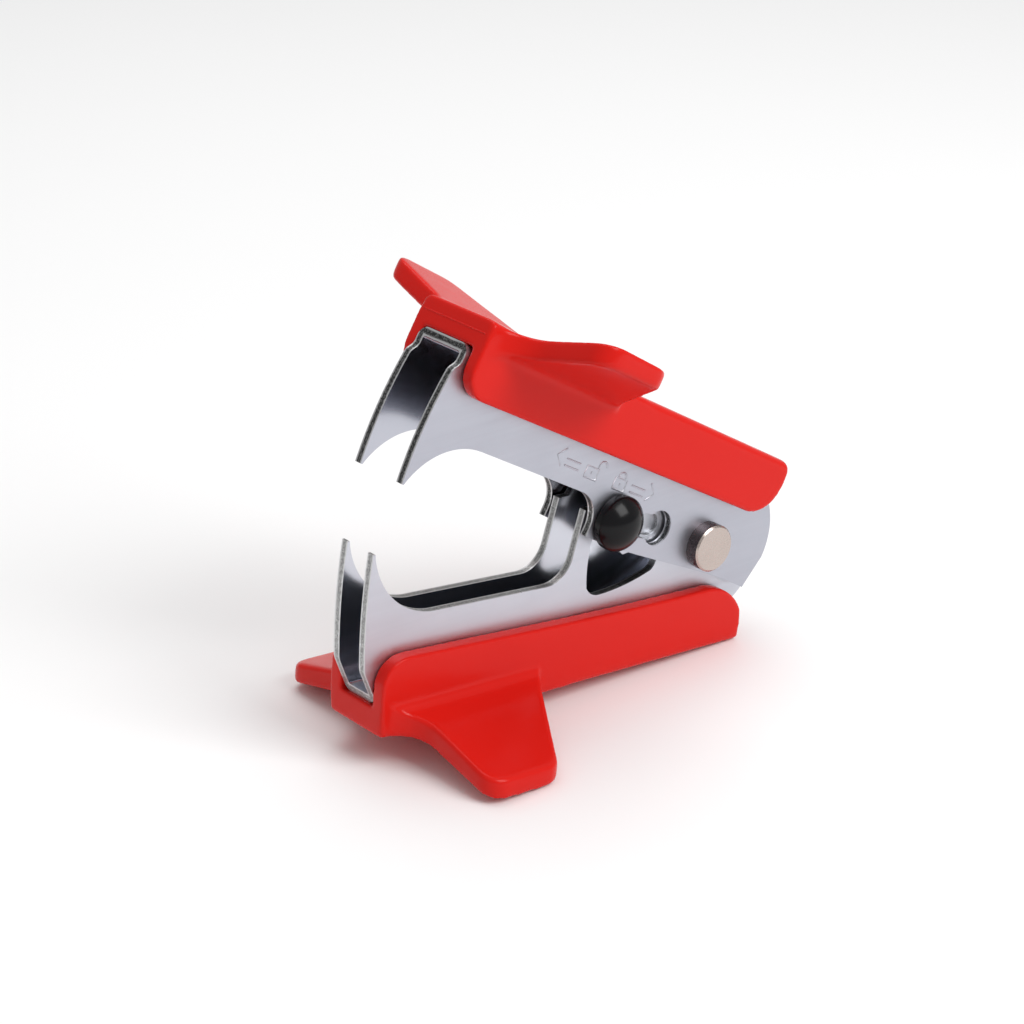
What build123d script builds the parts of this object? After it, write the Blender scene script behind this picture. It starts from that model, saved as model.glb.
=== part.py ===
"""Claw-type staple remover with a sliding lock, in its open, unlocked pose.

Millimetres. The claws point to -X, the pivot is at the rear, +Z is up, and the remover
stands on its two lower wing tips and the rear edge of its lower cover, at Z = 0.

Each jaw is drawn in its own views, with the pivot at (0, 0). In a jaw's side view the
first number runs rearwards along the jaw and the second one upwards from the pivot.
The side views of the two jaws coincide when the jaws are closed.
"""
from build123d import *
from math import acos, atan2, cos, degrees, hypot, radians, sin, sqrt
import os

os.makedirs("parts", exist_ok=True)

# ---- how the jaws stand -------------------------------------------------
PIVOT_X = 18.9           # the origin is on the ground under the middle of the remover
PIVOT_Z = 14.147
REAR_DIP = 4.19          # degrees: the lower jaw dips to the rear, because its wing tips droop
OPEN_ANGLE = 26.0        # degrees between the open jaws

# ---- sheet steel jaws ---------------------------------------------------
STEEL = 1.0              # sheet thickness
UPPER_HALF = 4.1         # outer half width of the upper channel
LOWER_HALF = 2.78        # outer half width of the lower channel, which nests in the upper one
WEB = 10.3               # outer face of each channel's web, from the pivot
CLAW_TIP = 49.5          # claw tips, in front of the pivot
BEND_OUTER = 1.3         # radii where web and side plate meet
BEND_INNER = 0.35
UPPER_JOGGLE_R = 1.3       # where the claws' front edges step back to the web
LOWER_JOGGLE_R = 2.5

# ---- pivot --------------------------------------------------------------
SHANK_R = 1.8
RUNNING = 0.05           # radial clearance of a turning or sliding fit
HEAD_R = 2.9
HEAD_H = 1.8
HEAD_CHAMFER = 0.2
SPACER_R = 2.4

# ---- lock ---------------------------------------------------------------
POCKET = (-8.85, -0.30)  # rear end of the slot, in the upper jaw's side view
POCKET_R = 2.15
SLOT_FALL = 8.7          # degrees that the slot falls towards the front
SLOT_TRAVEL = 7.4
STEM_R = 1.45            # knob's stem, which fills the slot's width
LOCK_PIN_R = 1.1
LOCK_FLANGE_R = 2.05     # thin flange between the plates, which only the pocket lets through
LOCK_RECESS = 0.58       # depth of the coined channel for the pin while the jaws are open
LOCK_ROOM = 1.35         # half width of the lower plate's channels for the lock pin
HOLE_R = 17.5            # front edge of the lower plate's hole, an arc about the pivot
ISLAND_R = 14.6          # outer end of the tongue that traps the lock pin
KNOB_R = 3.35
KNOB_FOOT = 0.1          # the knob slides this far off the plate
KNOB_SIDE = 1.1          # height of the knob's side, and of its dome above that
KNOB_DOME = 1.9
KNOB_ROUND = 0.6

# ---- return spring ------------------------------------------------------
WIRE_R = 0.35
COIL_R = 3.1             # middle of the wire
COIL_PITCH = 0.72
SPRING_TURNS = 2         # whole turns, besides the part between the two legs

# ---- covers -------------------------------------------------------------
FIT_GAP = 0.1            # between steel side plates and cover walls
UPPER_COVER_HALF = 6.0
LOWER_COVER_HALF = 4.76
TIP_HALF = 18.6          # wing tips, from the middle plane
WING_FRONT = -43.7
WING_TIP_REAR = -34.0
TIP_CORNER = 2.4         # radius of the wing tips' corners, in plan
TOP_TILT = 1.75          # degrees that the upper wings' top rises towards the front
TALL = 60.0              # longer than anything it cuts or crosses

LOWER = REAR_DIP
UPPER = REAR_DIP + OPEN_ANGLE
SLOT_DIR = (-cos(radians(SLOT_FALL)), -sin(radians(SLOT_FALL)))
UNLOCKED = (POCKET[0] + SLOT_TRAVEL * SLOT_DIR[0], POCKET[1] + SLOT_TRAVEL * SLOT_DIR[1])


def side(pitch, near=0.0):
    """A jaw's side view, seen from the near side (-Y), on a plane that far to the near side."""
    a = radians(pitch)
    return Plane((PIVOT_X, -near, PIVOT_Z), x_dir=(cos(a), 0, -sin(a)), z_dir=(0, -1, 0))


def plan(pitch):
    """A jaw's plan view, through the pivot."""
    a = radians(pitch)
    return Plane((PIVOT_X, 0, PIVOT_Z), x_dir=(cos(a), 0, -sin(a)), z_dir=(sin(a), 0, cos(a)))


def section(pitch):
    """A jaw's cross-section through the pivot. Its first axis is +Y."""
    a = radians(pitch)
    return Plane((PIVOT_X, 0, PIVOT_Z), x_dir=(0, 1, 0), z_dir=(cos(a), 0, -sin(a)))


def turned(point, angle):
    """A side-view point, turned about the pivot as the open upper jaw is, by that angle."""
    a = radians(angle)
    return (point[0] * cos(a) + point[1] * sin(a), -point[0] * sin(a) + point[1] * cos(a))


def polar(radius, angle):
    """A side-view point at that radius and that many degrees above the forward direction."""
    return (-radius * cos(radians(angle)), radius * sin(radians(angle)))


def channel_section(half, up):
    """The cross-section of a bent channel, with its web at +WEB (up = 1) or -WEB (up = -1)."""
    with BuildSketch() as outline:
        with Locations((0, up * (WEB - TALL / 2))):
            Rectangle(2 * half, TALL)
        fillet(outline.vertices().sort_by(Axis.Y)[-2:] if up > 0
               else outline.vertices().sort_by(Axis.Y)[:2], BEND_OUTER)
        with BuildSketch(mode=Mode.SUBTRACT) as room:
            with Locations((0, up * (WEB - STEEL - TALL / 2))):
                Rectangle(2 * (half - STEEL), TALL)
            fillet(room.vertices().sort_by(Axis.Y)[-2:] if up > 0
                   else room.vertices().sort_by(Axis.Y)[:2], BEND_INNER)
    return outline.sketch


# ---- upper jaw ----------------------------------------------------------
with BuildPart() as upper_jaw:
    with BuildSketch(side(UPPER)) as outline:
        with BuildLine():
            claw_front = ThreePointArc((-CLAW_TIP, -6.2), (-49.9, 0.6), (-49.4, 7.2))
            joggle = Line(claw_front @ 1, (-48.6, 8.1))
            web_front = Line(joggle @ 1, (-48.6, WEB))
            web_top = Line(web_front @ 1, (6.0, WEB))
            web_rear = Line(web_top @ 1, (6.0, 8.8))
            rear = ThreePointArc(web_rear @ 1, (9.75, 5.2), (10.75, 1.2))
            heel = Line(rear @ 1, (9.7, -3.1))
            ear_bottom = Spline(heel @ 1, (1.0, -3.25), (-9.0, -4.0), (-19.5, -4.25))
            ear_front = Line(ear_bottom @ 1, (-19.5, -3.0))
            throat_corner = ThreePointArc(ear_front @ 1, (-20.5, -0.75), (-23.0, 0.3))
            throat = Line(throat_corner @ 1, (-40.5, 0.2))
            claw_back = ThreePointArc(throat @ 1, (-46.7, -2.25), (-CLAW_TIP + 0.25, -6.2))
            Line(claw_back @ 1, claw_front @ 0)
        make_face()
        fillet([v for v in outline.vertices() if v.X < -48.5 and 7 < v.Y < 9], UPPER_JOGGLE_R)
    extrude(amount=UPPER_HALF, both=True)
    with BuildSketch(section(UPPER)):
        add(channel_section(UPPER_HALF, 1))
    extrude(amount=TALL, both=True, mode=Mode.INTERSECT)
    with BuildSketch(side(UPPER)):
        Circle(SHANK_R + RUNNING)
    extrude(amount=UPPER_HALF, both=True, mode=Mode.SUBTRACT)
    with BuildSketch(side(UPPER, UPPER_HALF - STEEL)):
        with Locations(POCKET):
            Circle(POCKET_R)
        with Locations(((POCKET[0] + UNLOCKED[0]) / 2, (POCKET[1] + UNLOCKED[1]) / 2)):
            SlotCenterToCenter(SLOT_TRAVEL, 2 * (STEM_R + RUNNING), rotation=SLOT_FALL)
    extrude(amount=STEEL, mode=Mode.SUBTRACT)
upper_jaw.part.label = "upper_jaw"
export_step(upper_jaw.part, "parts/upper_jaw.step")

# ---- lower jaw ----------------------------------------------------------
OPEN_POCKET = turned(POCKET, OPEN_ANGLE)
OPEN_UNLOCKED = turned(UNLOCKED, OPEN_ANGLE)

with BuildPart() as lower_jaw:
    with BuildSketch(side(LOWER)) as outline:
        with BuildLine():
            claw_front = ThreePointArc((-49.35, 7.9), (-49.75, 0.5), (-49.5, -6.0))
            joggle = Line(claw_front @ 1, (-47.9, -9.3))
            web_front = Line(joggle @ 1, (-47.7, -WEB))
            web_bottom = Line(web_front @ 1, (6.6, -WEB))
            web_rear = Line(web_bottom @ 1, (6.6, -9.2))
            rear = ThreePointArc(web_rear @ 1, (9.3, -6.6), (10.3, -2.6))
            rear_top = ThreePointArc(rear @ 1, (9.9, 1.6), (8.0, 3.9))
            crown = ThreePointArc(rear_top @ 1, (4.85, 7.46), (0.0, 8.9))
            ear_top = Line(crown @ 1, (-15.6, 8.9))
            ear_step = Line(ear_top @ 1, (-17.0, 7.3))
            ear_nose = Line(ear_step @ 1, (-18.6, 7.3))
            riser = Line(ear_nose @ 1, (-19.85, 1.9))
            throat_corner = ThreePointArc(riser @ 1, (-21.2, -0.35), (-23.6, -1.15))
            throat = Line(throat_corner @ 1, (-40.5, -0.5))
            claw_back = ThreePointArc(throat @ 1, (-46.75, 2.75), (-49.1, 7.9))
            Line(claw_back @ 1, claw_front @ 0)
        make_face()
        fillet([v for v in outline.vertices() if v.X < -47.8 and -9.5 < v.Y < -5.5], LOWER_JOGGLE_R)
    extrude(amount=LOWER_HALF, both=True)
    with BuildSketch(section(LOWER)):
        add(channel_section(LOWER_HALF, -1))
    extrude(amount=TALL, both=True, mode=Mode.INTERSECT)
    with BuildSketch(side(LOWER)):
        Circle(SHANK_R)
    extrude(amount=LOWER_HALF, both=True, mode=Mode.SUBTRACT)
    with BuildSketch(side(LOWER, LOWER_HALF - STEEL)) as lock_hole:
        # the large hole, with the channel for the locked pin at its rear end
        with BuildLine():
            front_edge = RadiusArc(polar(HOLE_R, -8.6), polar(HOLE_R, 25.7), HOLE_R)
            top_edge = Line(front_edge @ 1, polar(ISLAND_R, 25.7))
            island_end = RadiusArc(top_edge @ 1, polar(ISLAND_R, 10.0), -ISLAND_R)
            island_chamfer = Line(island_end @ 1, (-12.0, 0.6))
            island_under = Line(island_chamfer @ 1, (-7.6, 1.1))
            rear_end = ThreePointArc(island_under @ 1, (-6.35, -0.9), (-7.2, -2.35))
            bottom_edge = ThreePointArc(rear_end @ 1, (-11.2, -3.4), (-15.4, -3.82))
            ThreePointArc(bottom_edge @ 1, (-16.6, -3.4), front_edge @ 0)
        make_face()
    extrude(amount=STEEL, mode=Mode.SUBTRACT)
    # the channel for the pin while the jaws are open
    with BuildSketch(side(LOWER, LOWER_HALF - LOCK_RECESS)):
        with Locations(((OPEN_POCKET[0] + OPEN_UNLOCKED[0]) / 2,
                        (OPEN_POCKET[1] + OPEN_UNLOCKED[1]) / 2)):
            SlotCenterToCenter(SLOT_TRAVEL, 2 * LOCK_ROOM, rotation=SLOT_FALL - OPEN_ANGLE)
    extrude(amount=LOCK_RECESS, mode=Mode.SUBTRACT)
lower_jaw.part.label = "lower_jaw"
export_step(lower_jaw.part, "parts/lower_jaw.step")


# ---- covers -------------------------------------------------------------
def wing_plan(root_half):
    """Both wings in plan, with the strip of cover that joins them."""
    with BuildSketch() as wings:
        with BuildLine():
            Polyline(
                (WING_FRONT, root_half), (WING_FRONT, TIP_HALF), (WING_TIP_REAR, TIP_HALF),
                (-25.4, root_half), (-20.4, root_half), (-20.4, 0), (-48.05, 0),
                (-48.05, root_half), close=True,
            )
        make_face()
        corners = wings.vertices()
        fillet(corners.sort_by(Axis.Y)[-2:], TIP_CORNER)
        roots = [v for v in wings.vertices() if abs(v.Y - root_half) < 0.01 and -46 < v.X < -22]
        fillet([v for v in roots if v.X < -40], 4.2)
        fillet([v for v in roots if v.X > -40], 8.0)
        mirror(about=Plane.XZ)
    return wings.sketch


def wing_layer(root_half, inner, outer, up):
    """One face of cover and wings in cross-section, as a thick layer from that face: the heights of
    the wings' inner face, or of their outer one, at root and tip. The other one is None."""
    face = inner or outer
    depth = -9.0 if inner is None else 15.0
    slope = (face[1] - face[0]) / (TIP_HALF - root_half)
    with BuildSketch() as layer:
        with BuildLine():
            if inner is None:
                Polyline(
                    (0, up * (face[0] + depth)), (2 * TIP_HALF, up * (face[0] + depth)),
                    (2 * TIP_HALF, up * (face[1] + TIP_HALF * slope)), (root_half, up * face[0]),
                    (0, up * face[0]), close=True,
                )
            else:
                Polyline(
                    (0, up * (face[0] - 3.0)), (root_half, up * (face[0] - 3.0)),
                    (root_half, up * face[0]),
                    (2 * TIP_HALF, up * (face[1] + TIP_HALF * slope)),
                    (2 * TIP_HALF, up * (face[0] + depth)), (0, up * (face[0] + depth)), close=True,
                )
        make_face()
        bend = [v for v in layer.vertices() if abs(v.X - root_half) < 0.01
                and abs(abs(v.Y) - face[0]) < 0.01]
        fillet(bend, 24.0 if inner is None else 1.5)
        mirror(about=Plane.YZ)
    return layer.sketch


with BuildPart() as upper_wings:
    with BuildSketch(section(UPPER)):
        add(wing_layer(UPPER_COVER_HALF, (10.7, 14.1), None, 1))
    extrude(amount=TALL, both=True)
    with BuildSketch(section(UPPER + TOP_TILT)):
        add(wing_layer(UPPER_COVER_HALF, None, (11.87, 15.3), 1))
    extrude(amount=TALL, both=True, mode=Mode.INTERSECT)
    with BuildSketch(plan(UPPER)):
        add(wing_plan(UPPER_COVER_HALF))
    extrude(amount=TALL, both=True, mode=Mode.INTERSECT)

with BuildPart() as upper_cover:
    with BuildSketch(side(UPPER)):
        with BuildLine():
            under = Line((-45.3, 5.2), (2.0, 5.6))
            rear_low = ThreePointArc(under @ 1, (5.2, 6.6), (6.7, 9.1))
            rear_edge = ThreePointArc(rear_low @ 1, (6.85, 10.8), (6.4, 12.9))
            top = Line(rear_edge @ 1, (-24.0, 12.9))
            slope = Spline(top @ 1, (-36.0, 13.15), (-48.2, 13.8), tangents=((-1, 0), (-1, 0.06)))
            face = Line(slope @ 1, (-48.3, 8.2))
            ThreePointArc(face @ 1, (-47.4, 6.1), under @ 0)
        make_face()
    extrude(amount=UPPER_COVER_HALF, both=True)
    long_edges = upper_cover.edges().filter_by(lambda e: abs((e % 0.5).Y) < 0.01 and e.length > 20)
    fillet(long_edges.sort_by(Axis.Z)[-2:], 0.9)
    add(upper_wings.part)
    with BuildSketch(side(UPPER)):
        with Locations(((6.1 - 60.0) / 2, WEB - TALL / 2)):
            Rectangle(66.1, TALL)
        with Locations((0.0, 9.0 - TALL / 2)):
            Rectangle(30.0, TALL)
    extrude(amount=UPPER_HALF + FIT_GAP, both=True, mode=Mode.SUBTRACT)
upper_cover.part.label = "upper_cover"
export_step(upper_cover.part, "parts/upper_cover.step")

with BuildPart() as lower_wings:
    with BuildSketch(section(LOWER)):
        add(wing_layer(LOWER_COVER_HALF, (10.6, 14.3), None, -1))
    extrude(amount=TALL, both=True)
    with BuildSketch(section(LOWER)):
        add(wing_layer(LOWER_COVER_HALF, None, (13.45, 16.75), -1))
    extrude(amount=TALL, both=True, mode=Mode.INTERSECT)
    with BuildSketch(plan(LOWER)):
        add(wing_plan(LOWER_COVER_HALF))
    extrude(amount=TALL, both=True, mode=Mode.INTERSECT)

with BuildPart() as lower_cover:
    with BuildSketch(side(LOWER)):
        with BuildLine():
            wall_top = Spline((-44.9, -4.35), (-30.0, -5.0), (-12.0, -5.7), (0.6, -5.9))
            rear_top = ThreePointArc(wall_top @ 1, (4.6, -7.0), (7.0, -9.8))
            rear_edge = Line(rear_top @ 1, (7.3, -13.65))
            underside = Line(rear_edge @ 1, (-48.2, -13.65))
            face = Line(underside @ 1, (-48.3, -7.9))
            ThreePointArc(face @ 1, (-47.35, -5.4), wall_top @ 0)
        make_face()
    extrude(amount=LOWER_COVER_HALF, both=True)
    long_edges = lower_cover.edges().filter_by(lambda e: abs((e % 0.5).Y) < 0.01 and e.length > 20)
    fillet(long_edges.sort_by(Axis.Z)[:2], 0.6)
    add(lower_wings.part)
    with BuildSketch(side(LOWER)):
        with Locations(((6.7 - 60.0) / 2, TALL / 2 - WEB)):
            Rectangle(66.7, TALL)
        with Locations((0.0, TALL / 2 - 9.7)):
            Rectangle(30.0, TALL)
    extrude(amount=LOWER_HALF + FIT_GAP, both=True, mode=Mode.SUBTRACT)
lower_cover.part.label = "lower_cover"
export_step(lower_cover.part, "parts/lower_cover.step")

# ---- pivot --------------------------------------------------------------
with BuildPart() as pivot_pin:
    with BuildSketch(side(0)):
        Circle(SHANK_R)
    extrude(amount=UPPER_HALF, both=True)
    with BuildSketch(side(0, UPPER_HALF)):
        Circle(HEAD_R)
    extrude(amount=HEAD_H)
    chamfer(pivot_pin.edges().sort_by(Axis.Y)[0], HEAD_CHAMFER)
    tail = Plane((PIVOT_X, UPPER_HALF, PIVOT_Z), x_dir=(1, 0, 0), z_dir=(0, 1, 0))
    with BuildSketch(tail):
        Circle(SHANK_R)
    extrude(amount=HEAD_H)
pivot_pin.part.label = "pivot_pin"
export_step(pivot_pin.part, "parts/pivot_pin.step")

with BuildPart() as pivot_collar:
    with BuildSketch(tail):
        Circle(HEAD_R)
        Circle(SHANK_R, mode=Mode.SUBTRACT)
    extrude(amount=HEAD_H)
    chamfer(pivot_collar.edges().group_by(Axis.Y)[-1].sort_by(SortBy.RADIUS)[-1], HEAD_CHAMFER)
pivot_collar.part.label = "pivot_collar"
export_step(pivot_collar.part, "parts/pivot_collar.step")

with BuildPart() as pivot_spacer:
    with BuildSketch(side(0)):
        Circle(SPACER_R)
        Circle(SHANK_R, mode=Mode.SUBTRACT)
    extrude(amount=LOWER_HALF - STEEL, both=True)
pivot_spacer.part.label = "pivot_spacer"
export_step(pivot_spacer.part, "parts/pivot_spacer.step")

# ---- return spring ------------------------------------------------------
UPPER_LEG_END = turned((-9.9, WEB - STEEL - WIRE_R - 0.02), OPEN_ANGLE)
LOWER_LEG_END = (-10.6, -(WEB - STEEL - WIRE_R - 0.02))


def leg_angle(end, ahead):
    """Where a leg that ends there touches the coil, in degrees from rearwards, upwards."""
    from_pivot = degrees(atan2(end[1], end[0]))
    return from_pivot + ahead * degrees(acos(COIL_R / hypot(*end)))


UPPER_TOUCH = leg_angle(UPPER_LEG_END, -1)
LOWER_TOUCH = leg_angle(LOWER_LEG_END, 1)
COIL_TURNS = SPRING_TURNS + ((UPPER_TOUCH - LOWER_TOUCH) % 360) / 360
COIL_HALF = COIL_TURNS * COIL_PITCH / 2


coil = (side(LOWER).location * Rot(0, 0, UPPER_TOUCH) * Pos(0, 0, -COIL_HALF)
        * Helix(COIL_PITCH, 2 * COIL_HALF, COIL_R, lefthand=True))
upper_leg = Line(coil @ 0 - (coil % 0) * sqrt(hypot(*UPPER_LEG_END) ** 2 - COIL_R ** 2), coil @ 0)
lower_leg = Line(coil @ 1, coil @ 1 + (coil % 1) * sqrt(hypot(*LOWER_LEG_END) ** 2 - COIL_R ** 2))
wire = Wire([upper_leg.edge(), coil.edge(), lower_leg.edge()])

with BuildPart() as return_spring:
    with BuildSketch(Plane(wire @ 0, z_dir=wire % 0)):
        Circle(WIRE_R)
    sweep(path=wire)
return_spring.part.label = "return_spring"
export_step(return_spring.part, "parts/return_spring.step")


# ---- lock ---------------------------------------------------------------
def lock_axis():
    """A plane through the lock pin's axis: first axis towards the near side, second one its radius."""
    a = radians(UPPER)
    centre = side(UPPER).from_local_coords(Vector(*UNLOCKED, 0))
    return Plane(centre, x_dir=(0, -1, 0), z_dir=(sin(a), 0, cos(a)))


PIN_OUT = UPPER_HALF + 0.8                       # how far to the near side the pin reaches
FLANGE_OUT = UPPER_HALF - STEEL - 0.05
FLANGE_IN = LOWER_HALF + 0.07
PIN_IN = LOWER_HALF - LOCK_RECESS + 0.1

with BuildPart() as lock_pin:
    with BuildSketch(lock_axis()):
        with BuildLine():
            Polyline(
                (PIN_IN, 0), (PIN_IN, LOCK_PIN_R), (FLANGE_IN, LOCK_PIN_R),
                (FLANGE_IN, LOCK_FLANGE_R), (FLANGE_OUT, LOCK_FLANGE_R),
                (FLANGE_OUT, LOCK_PIN_R), (PIN_OUT, LOCK_PIN_R), (PIN_OUT, 0), close=True,
            )
        make_face()
    revolve(axis=Axis(lock_axis().origin, lock_axis().x_dir))
lock_pin.part.label = "lock_pin"
export_step(lock_pin.part, "parts/lock_pin.step")

DOME_R = (KNOB_R ** 2 + KNOB_DOME ** 2) / (2 * KNOB_DOME)
DOME_CENTRE = UPPER_HALF + KNOB_FOOT + KNOB_SIDE + KNOB_DOME - DOME_R

with BuildPart() as lock_knob:
    with BuildSketch(side(UPPER, UPPER_HALF + KNOB_FOOT)):
        with Locations(UNLOCKED):
            Circle(KNOB_R)
    extrude(amount=KNOB_SIDE + KNOB_DOME)
    with Locations(side(UPPER, DOME_CENTRE).from_local_coords(Vector(*UNLOCKED, 0))):
        Sphere(DOME_R, mode=Mode.INTERSECT)
    fillet(lock_knob.edges().sort_by(Axis.Y)[0], KNOB_ROUND)
    chamfer(lock_knob.edges().sort_by(Axis.Y)[-1], 0.2)
    with BuildSketch(side(UPPER, FLANGE_OUT)):
        with Locations(UNLOCKED):
            Circle(STEM_R)
    extrude(amount=UPPER_HALF + KNOB_FOOT - FLANGE_OUT)
    with BuildSketch(side(UPPER, FLANGE_OUT)):
        with Locations(UNLOCKED):
            Circle(LOCK_PIN_R)
    extrude(amount=PIN_OUT - FLANGE_OUT, mode=Mode.SUBTRACT)
lock_knob.part.label = "lock_knob"
export_step(lock_knob.part, "parts/lock_knob.step")
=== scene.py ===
"""A jaw-type staple remover with red winged covers and a sliding lock, on a pale studio floor."""
from math import cos, radians, sin

import bpy
from mathutils import Matrix, Vector


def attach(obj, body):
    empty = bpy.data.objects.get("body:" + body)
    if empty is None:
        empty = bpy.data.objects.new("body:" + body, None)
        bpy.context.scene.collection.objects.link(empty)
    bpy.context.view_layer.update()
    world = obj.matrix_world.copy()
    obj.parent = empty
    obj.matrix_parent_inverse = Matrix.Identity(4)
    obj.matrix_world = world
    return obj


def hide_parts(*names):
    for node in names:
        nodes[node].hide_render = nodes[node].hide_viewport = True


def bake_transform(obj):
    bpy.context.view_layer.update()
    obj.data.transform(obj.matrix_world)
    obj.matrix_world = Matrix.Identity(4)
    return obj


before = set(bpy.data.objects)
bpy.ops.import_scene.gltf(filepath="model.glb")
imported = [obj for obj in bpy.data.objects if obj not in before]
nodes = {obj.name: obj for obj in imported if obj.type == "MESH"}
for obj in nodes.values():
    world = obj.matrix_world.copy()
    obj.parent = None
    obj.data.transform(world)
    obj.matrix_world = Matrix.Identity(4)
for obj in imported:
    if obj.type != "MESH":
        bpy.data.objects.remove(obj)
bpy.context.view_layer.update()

MM = 0.001
PIVOT = Vector((18.9, 0.0, 14.147)) * MM      # the jaws' pivot
LOWER_DIP = 4.19                             # degrees that the lower jaw dips to the rear
UPPER_DIP = 30.19                            # the same for the open upper jaw

# in millimetres, from the middle plane or from the pivot
LOWER_INSIDE = 1.78                          # inner faces of the lower jaw's side plates
UPPER_INSIDE = 3.1                           # inner faces of the upper jaw's side plates
SHEET = 1.0                                  # thickness of both jaws
WEB_MIDDLE = 9.8                             # middle of each jaw's web
PLATE_FACE = UPPER_INSIDE + SHEET            # outer faces of the upper jaw's side plates


def up_from(dip):
    """The direction that is upwards in a jaw's side view."""
    return Vector((sin(radians(dip)), 0.0, cos(radians(dip))))


# ---- materials ------------------------------------------------------------
NOISE_ROUGHNESS = 0.55
NOISE_LOW, NOISE_HIGH = 0.3, 0.7             # between which most noise lies


def material(name):
    """A new node material, its nodes, a function that links two sockets, and its Principled node."""
    made = bpy.data.materials.new(name)
    made.use_nodes = True
    tree = made.node_tree
    shader = tree.nodes["Principled BSDF"]
    return made, tree.nodes, tree.links.new, shader


def noise(nn, link, vector, scale, detail=3.0):
    """Noise of scale features to the metre."""
    made = nn.new("ShaderNodeTexNoise")
    made.inputs["Scale"].default_value = scale
    made.inputs["Detail"].default_value = detail
    made.inputs["Roughness"].default_value = NOISE_ROUGHNESS
    link(vector, made.inputs["Vector"])
    return made.outputs["Fac"]


def mapped(nn, link, vector, scale, turn=(0, 0, 0)):
    """A place stretched, and then turned, for noise that runs one way."""
    made = nn.new("ShaderNodeMapping")
    made.inputs["Scale"].default_value = scale
    made.inputs["Rotation"].default_value = turn
    link(vector, made.inputs["Vector"])
    return made.outputs["Vector"]


def ramp(nn, link, value, low, high, out_low, out_high):
    """out_low to out_high as value goes from low to high, and no further."""
    made = nn.new("ShaderNodeMapRange")
    for key, number in (("From Min", low), ("From Max", high), ("To Min", out_low), ("To Max", out_high)):
        made.inputs[key].default_value = number
    link(value, made.inputs["Value"])
    return made.outputs["Result"]


def feed(link, value, socket):
    """Gives a socket a number, a colour or another socket's value."""
    if isinstance(value, tuple):
        socket.default_value = (*value, 1.0)
    elif isinstance(value, float):
        socket.default_value = value
    else:
        link(value, socket)


def mixed(nn, link, factor, first, second, kind="RGBA"):
    """first to second, colours unless kind is FLOAT, as factor goes from 0 to 1."""
    made = nn.new("ShaderNodeMix")
    made.data_type = kind
    link(factor, made.inputs["Factor"])
    feed(link, first, made.inputs["A"])
    feed(link, second, made.inputs["B"])
    return made.outputs["Result"]


def bump(nn, link, height, strength, distance, below=None):
    """A bumped normal, on top of another one if below is given."""
    made = nn.new("ShaderNodeBump")
    made.inputs["Strength"].default_value = strength
    made.inputs["Distance"].default_value = distance
    link(height, made.inputs["Height"])
    if below is not None:
        link(below, made.inputs["Normal"])
    return made.outputs["Normal"]


def maths(nn, link, kind, *values):
    """One step of arithmetic, on numbers or sockets."""
    made = nn.new("ShaderNodeMath")
    made.operation = kind
    for socket, value in zip(made.inputs, values):
        feed(link, value, socket)
    return made.outputs["Value"]


def facing_side(nn, link):
    """1 on faces that look along Y, to 0 on those that look across it."""
    split = nn.new("ShaderNodeSeparateXYZ")
    link(nn.new("ShaderNodeNewGeometry").outputs["True Normal"], split.inputs["Vector"])
    return maths(nn, link, "ABSOLUTE", split.outputs["Y"])


ROLLED_GRAIN = (60, 900, 2600)               # features to the metre along X, Y and Z
SHEARED_GRAIN = (3200, 260, 3200)
BURR_WANDER = 0.30                           # millimetres that the burrs' width varies by
# painted highlight: the bright bands along both burrs of the sheared edges
BURR_HIGHLIGHT_COLOUR = (0.66, 0.66, 0.67)
INSIDE_ROUGHNESS = 0.19                      # the channels' insides are shinier than their outsides


def middle_distance(nn, link, where, ragged, middle):
    """How far a point is from the middle of the sheet, unevenly."""
    uneven = maths(nn, link, "ADD", where, ragged)
    return maths(nn, link, "ABSOLUTE", maths(nn, link, "SUBTRACT", uneven, middle * MM))


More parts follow.
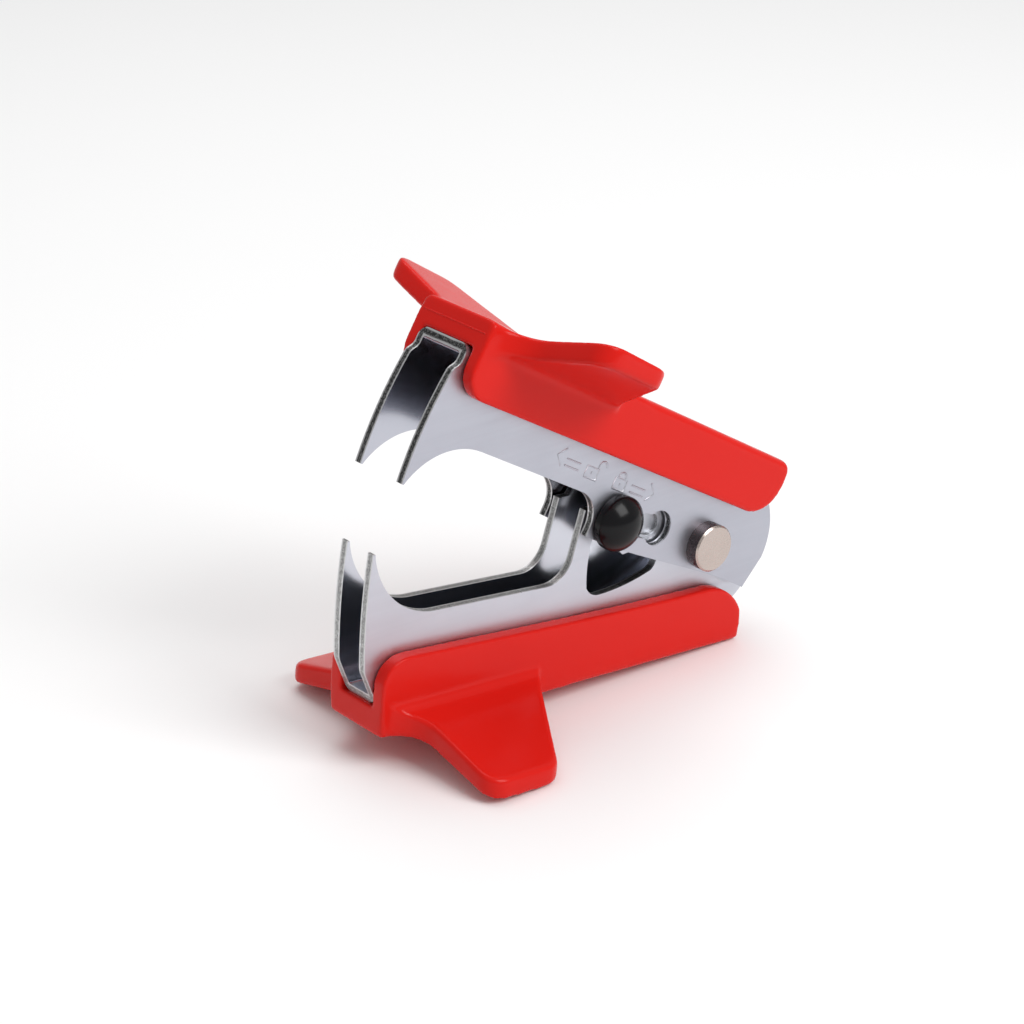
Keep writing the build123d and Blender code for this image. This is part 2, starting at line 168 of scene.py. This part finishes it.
def steel_material(name, dip, dark, light, inner, torn_and_shaded_dark, torn_and_shaded_light):
    """Plated sheet: smooth rolled faces, and sheared edges with a painted highlight along both burrs and
    painted shade between them, speckled at random between two given dark tones. inner is how far the side
    plates' inner faces are from the middle plane, in millimetres."""
    made, nn, link, shader = material(name)
    place = nn.new("ShaderNodeTexCoord").outputs["Object"]
    edge = ramp(nn, link, facing_side(nn, link), 0.25, 0.6, 1.0, 0.0)

    along = mapped(nn, link, place, ROLLED_GRAIN, (0, radians(dip), 0))
    rolled = noise(nn, link, along, 1.0, 4.0)
    sheared = noise(nn, link, mapped(nn, link, place, SHEARED_GRAIN), 1.0, 3.0)
    cloud = noise(nn, link, place, 160.0)
    flecks = ramp(nn, link, noise(nn, link, place, 5200.0, 2.0), 0.45, 0.62, 0.0, 1.0)

    split = nn.new("ShaderNodeSeparateXYZ")
    link(place, split.inputs["Vector"])
    depth = maths(nn, link, "ABSOLUTE", split.outputs["Y"])
    rise = nn.new("ShaderNodeVectorMath")
    rise.operation = "DOT_PRODUCT"
    link(place, rise.inputs[0])
    rise.inputs[1].default_value = up_from(dip)
    from_pivot = maths(nn, link, "SUBTRACT", rise.outputs["Value"], PIVOT.dot(up_from(dip)))
    height = maths(nn, link, "ABSOLUTE", from_pivot)

    ragged = maths(nn, link, "MULTIPLY_ADD", sheared, BURR_WANDER * MM, -BURR_WANDER / 2 * MM)
    in_plate = middle_distance(nn, link, depth, ragged, inner + SHEET / 2)
    in_web = middle_distance(nn, link, height, ragged, WEB_MIDDLE)
    middle = maths(nn, link, "MINIMUM", in_plate, in_web)
    # painted shade and painted highlight: the middle of each sheared edge is darkened towards the two given
    # dark tones over a random speckle, and both burrs are painted bright
    core = ramp(nn, link, middle, 0.24 * MM, 0.36 * MM, 1.0, 0.0)
    shaded_torn_speckle = mixed(nn, link, flecks, (torn_and_shaded_dark,) * 3, (torn_and_shaded_light,) * 3)
    torn_shade_and_burr_highlight = mixed(nn, link, core, BURR_HIGHLIGHT_COLOUR, shaded_torn_speckle)
    colour = mixed(nn, link, cloud, dark, light)
    link(mixed(nn, link, edge, colour, torn_shade_and_burr_highlight), shader.inputs["Base Color"])
    shader.inputs["Metallic"].default_value = 1.0

    outer_rough = ramp(nn, link, rolled, NOISE_LOW, NOISE_HIGH, 0.38, 0.47)
    edge_rough = ramp(nn, link, sheared, NOISE_LOW, NOISE_HIGH, 0.25, 0.5)
    inside = ramp(nn, link, depth, (inner + 0.1) * MM, (inner + 0.3) * MM, 1.0, 0.0)
    smooth_rough = mixed(nn, link, inside, outer_rough, INSIDE_ROUGHNESS, "FLOAT")
    link(mixed(nn, link, edge, smooth_rough, edge_rough, "FLOAT"), shader.inputs["Roughness"])

    low = bump(nn, link, rolled, 0.08, 0.02 * MM)
    grooves = maths(nn, link, "MULTIPLY", sheared, edge)
    link(bump(nn, link, grooves, 0.5, 0.08 * MM, low), shader.inputs["Normal"])
    return made


def plastic_material(name, colour, deep, rough, gloss):
    """Injection-moulded plastic: a soft orange-peel skin and slight variation of colour."""
    made, nn, link, shader = material(name)
    place = nn.new("ShaderNodeTexCoord").outputs["Object"]
    cloud = noise(nn, link, place, 90.0, 2.0)
    link(mixed(nn, link, cloud, deep, colour), shader.inputs["Base Color"])
    peel = noise(nn, link, place, 600.0, 1.0)
    patchy = ramp(nn, link, peel, NOISE_LOW, NOISE_HIGH, rough - 0.02, rough + 0.03)
    link(patchy, shader.inputs["Roughness"])
    shader.inputs["IOR"].default_value = 1.5
    shader.inputs["Specular IOR Level"].default_value = gloss
    link(bump(nn, link, peel, 0.04, 0.03 * MM), shader.inputs["Normal"])
    return made


WORN = 0.86                                  # how bright worn plating is, beside fresh


def plated_material(name, colour, rough, side=None):
    """Turned and plated metal with faint wear. Surfaces that don't face along Y can be painted darker, as a
    painted dark reflection.
    """
    made, nn, link, shader = material(name)
    place = nn.new("ShaderNodeTexCoord").outputs["Object"]
    cloud = noise(nn, link, place, 400.0)
    shade = mixed(nn, link, cloud, tuple(WORN * c for c in colour), colour)
    if side is not None:
        # painted reflection: faces that don't look along Y are darkened towards the given side colour
        flat = ramp(nn, link, facing_side(nn, link), 0.1, 0.4, 0.0, 1.0)
        shade = mixed(nn, link, flat, side, shade)
    link(shade, shader.inputs["Base Color"])
    shader.inputs["Metallic"].default_value = 1.0
    fine = noise(nn, link, place, 3000.0)
    patchy = ramp(nn, link, fine, NOISE_LOW, NOISE_HIGH, rough - 0.05, rough + 0.08)
    link(patchy, shader.inputs["Roughness"])
    link(bump(nn, link, fine, 0.06, 0.01 * MM), shader.inputs["Normal"])
    return made


RED = plastic_material("red_plastic", (0.68, 0.013, 0.008), (0.64, 0.011, 0.007), 0.19, 0.15)
BLACK = plastic_material("black_plastic", (0.006, 0.006, 0.007), (0.004, 0.004, 0.005), 0.20, 0.20)
# the last two numbers of each sheet are its sheared edges' painted shade, far darker on the upper jaw
LOWER_STEEL = steel_material("lower_sheet", LOWER_DIP, (0.57, 0.59, 0.65), (0.62, 0.64, 0.70),
                             LOWER_INSIDE, 0.26, 0.50)
UPPER_STEEL = steel_material("upper_sheet", UPPER_DIP, (0.455, 0.465, 0.525), (0.515, 0.525, 0.585),
                             UPPER_INSIDE, 0.045, 0.22)
# the last colour is a painted dark reflection on the pivot's turned sides
NICKEL = plated_material("warm_nickel", (0.56, 0.48, 0.44), 0.24, (0.12, 0.10, 0.10))
DARK_STEEL = plated_material("turned_steel", (0.50, 0.50, 0.51), 0.35)
WIRE = plated_material("spring_wire", (0.22, 0.22, 0.23), 0.40)

FINISH = {
    "lower_jaw": LOWER_STEEL, "upper_jaw": UPPER_STEEL, "lower_cover": RED, "upper_cover": RED,
    "pivot_pin": NICKEL, "pivot_collar": NICKEL, "pivot_spacer": DARK_STEEL,
    "return_spring": WIRE, "lock_pin": DARK_STEEL, "lock_knob": BLACK,
}
for name, finish in FINISH.items():
    nodes[name].data.materials.clear()
    nodes[name].data.materials.append(finish)

WORN_EDGE = 0.07                             # millimetres
for name in ("lower_jaw", "upper_jaw"):
    rounded = nodes[name].modifiers.new("worn_edges", "BEVEL")
    rounded.width = WORN_EDGE * MM
    rounded.segments = 3
    rounded.limit_method = "ANGLE"
    rounded.angle_limit = radians(35)


# ---- moulded covers --------------------------------------------------------
GRID = 0.18                                  # millimetres
SOFT_ROUNDS = 14                             # passes of smoothing everywhere, and then on the rims
RIM_ROUNDS = 45
RIM_STEPS = 5                                # in which the rims' smoothing begins
WING_ROOT, WING_BLEND = 5.6, 2.0             # the rims: millimetres off the middle plane, and the blend
BACK_HEIGHT, BACK_BLEND = 11.5, 1.0          # and millimetres above or below the pivot


def joined(name, data):
    """A new object in the scene."""
    piece = bpy.data.objects.new(name, data)
    bpy.context.scene.collection.objects.link(piece)
    return piece


def smoothed(piece, rounds, group=""):
    """Relaxes a piece, and bakes all its modifiers into its mesh."""
    relaxed = piece.modifiers.new("relaxed", "SMOOTH")
    relaxed.factor = 0.5
    relaxed.iterations = rounds
    relaxed.vertex_group = group
    ready = piece.evaluated_get(bpy.context.evaluated_depsgraph_get())
    shape = bpy.data.meshes.new_from_object(ready)
    piece.modifiers.clear()
    piece.data = shape


def rim_steps(mesh, dip):
    """How far each vertex is into a rim, in steps: into the wings, or into the cover's outer face."""
    found = []
    for v in mesh.vertices:
        wing = (abs(v.co.y) / MM - WING_ROOT) / WING_BLEND
        outwards = (abs((v.co - PIVOT).dot(up_from(dip))) / MM - BACK_HEIGHT) / BACK_BLEND
        found.append(round(RIM_STEPS * min(1.0, max(0.0, wing, outwards))))
    return found


def moulded(name, node, body, dip):
    """A cover with the soft edges and hollows of a moulding: the cover's own shape on an even grid,
    relaxed, and more so on its wings and on its outer face."""
    piece = joined(name, nodes[node].data.copy())
    even = piece.modifiers.new("grid", "REMESH")
    even.mode = "VOXEL"
    even.voxel_size = GRID * MM
    smoothed(piece, SOFT_ROUNDS)
    steps = rim_steps(piece.data, dip)
    rims = piece.vertex_groups.new(name="rims")
    for step in range(1, RIM_STEPS + 1):
        rims.add([k for k, s in enumerate(steps) if s == step], step / RIM_STEPS, "REPLACE")
    smoothed(piece, RIM_ROUNDS, "rims")
    piece.vertex_groups.clear()
    shape = piece.data
    shape.name = name
    shape.materials.clear()
    shape.materials.append(RED)
    shape.polygons.foreach_set("use_smooth", [True] * len(shape.polygons))
    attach(piece, body)
    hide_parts(node)


moulded("lower_shell", "lower_cover", "lower_jaw", LOWER_DIP)
moulded("upper_shell", "upper_cover", "upper_jaw", UPPER_DIP)


spring = joined("spring_wire", nodes["return_spring"].data.copy())
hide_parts("return_spring")
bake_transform(spring)


# ---- stamped marks and parting line on the upper jaw -----------------------
MARK_RADIUS = 0.13                           # millimetres
MARK_SUNK = 0.055                            # how deep the middle of a stroke is in the plate
SEAM_RADIUS = 0.09                           # the cover's parting line
SHAFTS = 3.15, 2.35                          # heights of an arrow's two lines
HEAD_SPREAD = 1.05                           # from the upper line to each end of the arrow's head
SHACKLE = 0.6                                # radius of a padlock's shackle
SWING, LIFT = 1.4, 0.3                       # how far an open one's shackle is moved aside and up


def on_upper(x, z, y):
    """A point of the upper jaw: x rearwards and z upwards from the pivot in its side view, y off the middle
    plane, all in millimetres."""
    a = radians(UPPER_DIP)
    return PIVOT + Vector((x * cos(a) + z * sin(a), y, -x * sin(a) + z * cos(a))) * MM


def half_circle(x, z, radius, parts=8):
    """Points from rear to front over the top."""
    turns = [radians(180 * k / parts) for k in range(parts + 1)]
    return [(x + radius * cos(turn), z + radius * sin(turn)) for turn in turns]


def raised(name, lines, radius, finish):
    """Raised lines on the upper jaw or its cover, each a list of points."""
    line = bpy.data.curves.new(name, "CURVE")
    line.dimensions = "3D"
    line.bevel_depth = radius * MM
    line.bevel_resolution = 2
    line.use_fill_caps = True
    for points in lines:
        spline = line.splines.new("POLY")
        spline.points.add(len(points) - 1)
        for dot, point in zip(spline.points, points):
            dot.co = (*point, 1.0)
    line.materials.append(finish)
    piece = joined(name, line)
    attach(piece, "upper_jaw")


def padlock(x, z, is_open):
    """A plain padlock about the point (x, z): its body, its shackle and its keyhole."""
    low, high = z - 1.0, z + 0.35
    body = [(x - 1.0, low), (x + 1.0, low), (x + 1.0, high), (x - 1.0, high), (x - 1.0, low)]
    if is_open:
        shackle = [*half_circle(x + SWING, high + 0.2 + LIFT, SHACKLE), (x + SWING - SHACKLE, high)]
    else:
        over = reversed(half_circle(x, high + 0.2, SHACKLE))
        shackle = [(x - SHACKLE, high), *over, (x + SHACKLE, high)]
    return [body, shackle, [(x, z - 0.45), (x, z - 0.1)]]


def arrow(tip, wing, front, rear):
    """An arrow: its head, which points from wing to tip, and two lines from front to rear."""
    head = [(wing, SHAFTS[0] + HEAD_SPREAD), (tip, SHAFTS[0]), (wing, SHAFTS[0] - HEAD_SPREAD)]
    return [head, *([(front, z), (rear, z)] for z in SHAFTS)]


def mark(name, strokes):
    """A sign on the near plate's outer face, from strokes in the jaw's side view."""
    depth = MARK_SUNK - PLATE_FACE
    lines = [[on_upper(x, z, depth) for x, z in stroke] for stroke in strokes]
    raised(name, lines, MARK_RADIUS, UPPER_STEEL)


mark("open_mark", [*arrow(-29.3, -28.2, -27.6, -25.2), *padlock(-23.0, 3.0, True)])
mark("shut_mark", [*arrow(-11.8, -12.9, -15.9, -13.5), *padlock(-17.9, 3.0, False)])

seam = [on_upper(-48.2, 12.1, y) for y in (-5.2, 5.2)]
raised("parting_line", [seam], SEAM_RADIUS, RED)


# ---- camera, floor and light ---------------------------------------------
AZIMUTH, ELEVATION = radians(-40.31), radians(24.81)
TILT = radians(1.81)                           # the view leans by this about Y
AIM = Vector((20.13, -2.50, -353.3)) * MM      # the pivot, as the camera sees it: right, up, back
LENS, SENSOR = 103.85, 36.0                    # millimetres
HALF_FLOOR = 6.0                               # metres
LIGHT_CENTRE = Vector((0, 0, 0.02))            # about the middle of the remover

back = Vector((sin(AZIMUTH) * cos(ELEVATION), -cos(AZIMUTH) * cos(ELEVATION), sin(ELEVATION)))
right = Vector((0, 0, 1)).cross(back).normalized()
axes = Matrix.Rotation(-TILT, 3, "Y") @ Matrix((right, back.cross(right), back)).transposed()
camera = joined("camera", bpy.data.cameras.new("camera"))
camera.matrix_world = Matrix.Translation(PIVOT - axes @ AIM) @ axes.to_4x4()
camera.data.lens = LENS
camera.data.sensor_width = SENSOR
camera.data.clip_start = 0.01
bpy.context.scene.camera = camera


def floor_material():
    made, nn, link, shader = material("pale_floor")
    cloud = noise(nn, link, nn.new("ShaderNodeTexCoord").outputs["Object"], 6.0)
    link(mixed(nn, link, cloud, (0.93, 0.93, 0.93), (0.95, 0.95, 0.95)), shader.inputs["Base Color"])
    shader.inputs["Roughness"].default_value = 0.8
    return made


plain = bpy.data.meshes.new("floor")
corners = [(x * HALF_FLOOR, y * HALF_FLOOR, 0) for x, y in ((-1, -1), (1, -1), (1, 1), (-1, 1))]
plain.from_pydata(corners, [], [(0, 1, 2, 3)])
plain.materials.append(floor_material())
joined("floor", plain)

world = bpy.data.worlds.new("studio")
world.use_nodes = True
sky = world.node_tree.nodes["Background"]
sky.inputs["Color"].default_value = (1, 1, 1, 1)
sky.inputs["Strength"].default_value = 0.45
bpy.context.scene.world = world
bpy.context.scene.view_settings.view_transform = "Standard"


def softbox(name, towards, distance, width, power):
    """A square area light, towards one side of the remover, that points at it."""
    lamp = bpy.data.lights.new(name, "AREA")
    lamp.shape = "RECTANGLE"
    lamp.size = lamp.size_y = width
    lamp.energy = power
    hung = joined(name, lamp)
    offset = Vector(towards).normalized() * distance
    hung.location = offset + LIGHT_CENTRE
    hung.rotation_mode = "QUATERNION"
    hung.rotation_quaternion = (-offset).to_track_quat("-Z", "Y")


softbox("key", (0.3, -1.0, 1.0), 0.6, 0.35, 2.2)
softbox("top", (0.2, 0.3, 1.0), 0.6, 0.5, 1.6)
